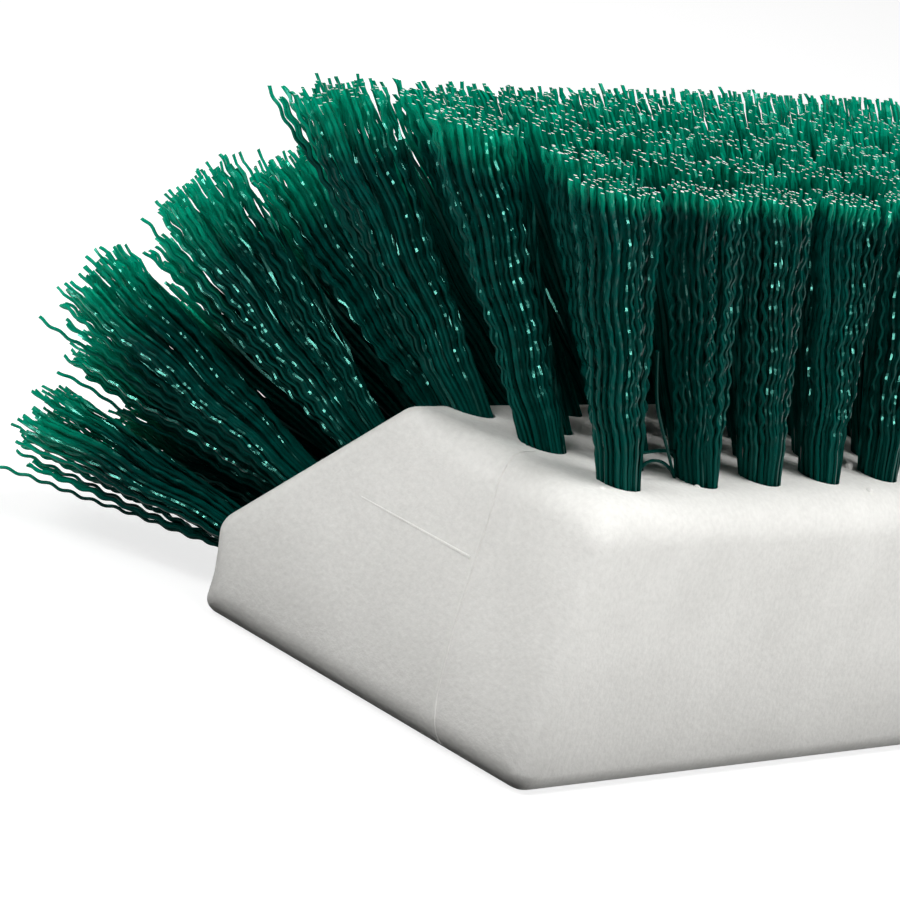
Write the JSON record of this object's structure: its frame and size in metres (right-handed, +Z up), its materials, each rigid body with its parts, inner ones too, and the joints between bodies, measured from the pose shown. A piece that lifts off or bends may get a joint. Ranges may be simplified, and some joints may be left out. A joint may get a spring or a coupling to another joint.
{
  "type": "floor scrub brush",
  "caption": "Floor scrub brush head: a moulded block with staggered tufts of stiff crimped bristles fanning from a flat face and a slanted face, and a leaning socket for a pole.",
  "frame": {"origin": "middle of the flat handle face, on which the block stands with its bristles up", "axes": "+X along the block, +Y from the upright front face to the slanted side, +Z up, the way the bristles point"},
  "size_m": [0.286, 0.1065, 0.0862],
  "materials": {
    "foamed_plastic": "off-white foamed polypropylene, matte, faint moulded grain",
    "filament": "deep green crimped polyester filament, glossy"
  },
  "bodies": {
    "root": {"block": "foamed_plastic", "floor_bristles_left": "filament", "floor_bristles_right": "filament", "edge_bristles_left": "filament", "edge_bristles_right": "filament"}
  },
  "joints": []
}
